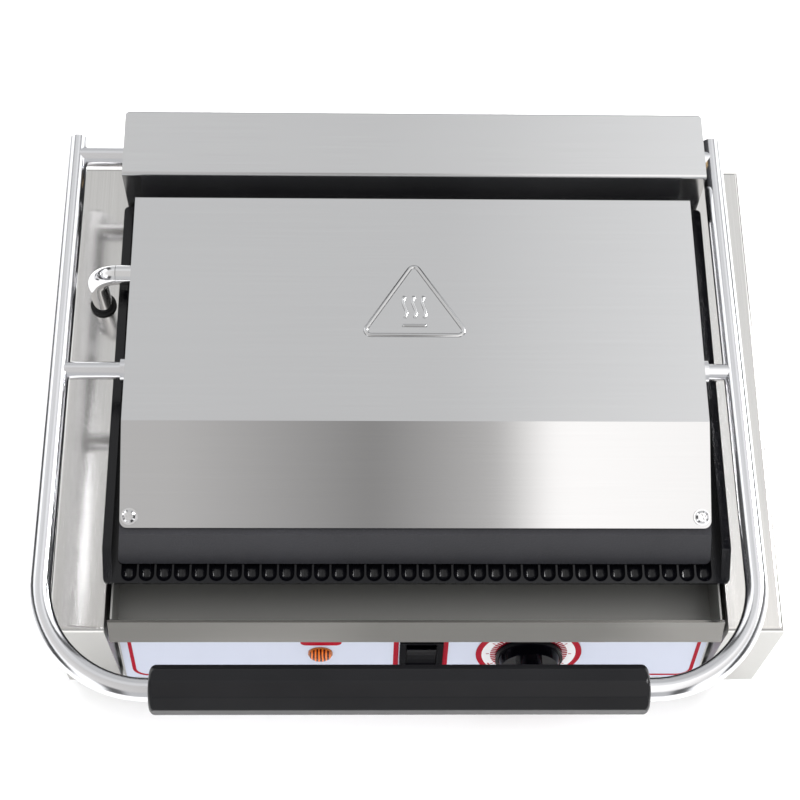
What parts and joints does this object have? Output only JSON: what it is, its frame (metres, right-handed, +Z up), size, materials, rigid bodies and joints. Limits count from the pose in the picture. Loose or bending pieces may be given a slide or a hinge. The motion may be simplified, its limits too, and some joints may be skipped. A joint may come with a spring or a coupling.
{
  "type": "panini press",
  "caption": "Wide electric contact grill with ribbed iron plates, a hinged self-levelling lid with a tubular bar handle, front control panel and pull-out grease tray.",
  "frame": {"origin": "middle of the object's box in X and Y, on the plane the feet stand on", "axes": "+X to the object's right as its user faces it, +Y from the front to the hinge, +Z up"},
  "size_m": [0.413, 0.377, 0.1807],
  "materials": {
    "casing_steel": "satin",
    "galvanised_steel": "dull zinc",
    "cover_steel": "fine brushed, brushing left to right",
    "foot_rubber": "matt",
    "screw_steel": "bright zinc",
    "label_film": "satin film",
    "label_ink": "satin print",
    "switch_plastic": "semi-gloss",
    "lamp_plastic": "gloss",
    "lamp_amber": "clear amber plastic",
    "copper": "drawn",
    "terminal_plastic": "ceramic-like",
    "wire_sleeve": "woven sleeve",
    "lower_iron": "seasoned, slightly glossy",
    "upper_iron": "sand-cast, matt",
    "heater_steel": "oxidised",
    "bush_brass": "turned",
    "spring_steel": "oiled",
    "conduit_metal": "bent chromed tube",
    "bar_chrome": "polished",
    "grip_plastic": "semi-gloss",
    "insulation_wool": "fibrous mat",
    "tray_steel": "brushed",
    "knob_plastic": "gloss"
  },
  "bodies": {
    "base": {"base_casing": "casing_steel", "base_bottom_plate": "galvanised_steel", "feet": "foot_rubber", "foot_screws": "screw_steel", "foot_nuts": "screw_steel", "case_screws": "screw_steel", "control_panel": "casing_steel", "panel_label": "label_film", "dial_ring": "label_ink", "switch_housing": "switch_plastic", "lamp_body": "lamp_plastic", "lamp_lens": "lamp_amber", "thermostat_body": "galvanised_steel", "thermostat_bulb": "copper", "terminal_block": "terminal_plastic", "wire_loom": "wire_sleeve", "cable_gland": "switch_plastic", "tray_runners": "galvanised_steel", "lower_plate": "lower_iron", "plate_studs": "screw_steel", "lower_heater": "heater_steel", "lower_heater_clamps": "galvanised_steel", "heat_shield": "galvanised_steel", "hinge_cover": "cover_steel", "hinge_cover_screws": "screw_steel", "hinge_cheek_left": "galvanised_steel", "hinge_cheek_right": "galvanised_steel", "cheek_bolts": "screw_steel", "hinge_bushes": "bush_brass", "torsion_springs": "spring_steel", "spring_anchor": "spring_steel", "conduit_grommet": "foot_rubber", "conduit": "conduit_metal"},
    "lid_arm": {"handle_bar": "bar_chrome", "handle_grip": "grip_plastic", "hinge_shaft": "bar_chrome", "shaft_collars": "spring_steel", "pivot_rods": "bar_chrome"},
    "lid_plate": {"upper_plate": "upper_iron", "upper_cover": "cover_steel", "cover_screws": "screw_steel", "pivot_bushes": "bar_chrome", "upper_heater": "heater_steel", "upper_heater_clamps": "galvanised_steel", "upper_insulation": "insulation_wool", "conduit_bush": "foot_rubber"},
    "tray": {"drip_tray": "tray_steel"},
    "knob": {"thermostat_knob": "knob_plastic", "thermostat_shaft": "screw_steel"},
    "rocker": {"rocker_button": "switch_plastic"}
  },
  "joints": [
    {"name": "lid_hinge", "type": "hinge", "parent": "base", "child": "lid_arm", "pos_m": [0, 0.1535, 0.156], "axis": [-1, 0, 0], "range_deg": [0, 65], "deforming": ["conduit"]},
    {"name": "plate_level", "type": "hinge", "parent": "lid_arm", "child": "lid_plate", "pos_m": [0, 0.0092, 0.16126], "axis": [-1, 0, 0], "range_deg": [-10, 0]},
    {"name": "tray_slide", "type": "slide", "parent": "base", "child": "tray", "axis": [0, -1, 0], "range_m": [0, 0.045]},
    {"name": "knob_turn", "type": "hinge", "parent": "base", "child": "knob", "pos_m": [0.0673, -0.11947, 0.05006], "axis": [0, 0.9833, -0.1822], "range_deg": [0, 300]},
    {"name": "rocker_tilt", "type": "hinge", "parent": "base", "child": "rocker", "pos_m": [0.0042, -0.11603, 0.04943], "axis": [-1, 0, 0], "range_deg": [0, 14]}
  ],
  "couplings": [
    {"joint": "plate_level", "follows": "lid_hinge", "ratio": -0.15}
  ]
}
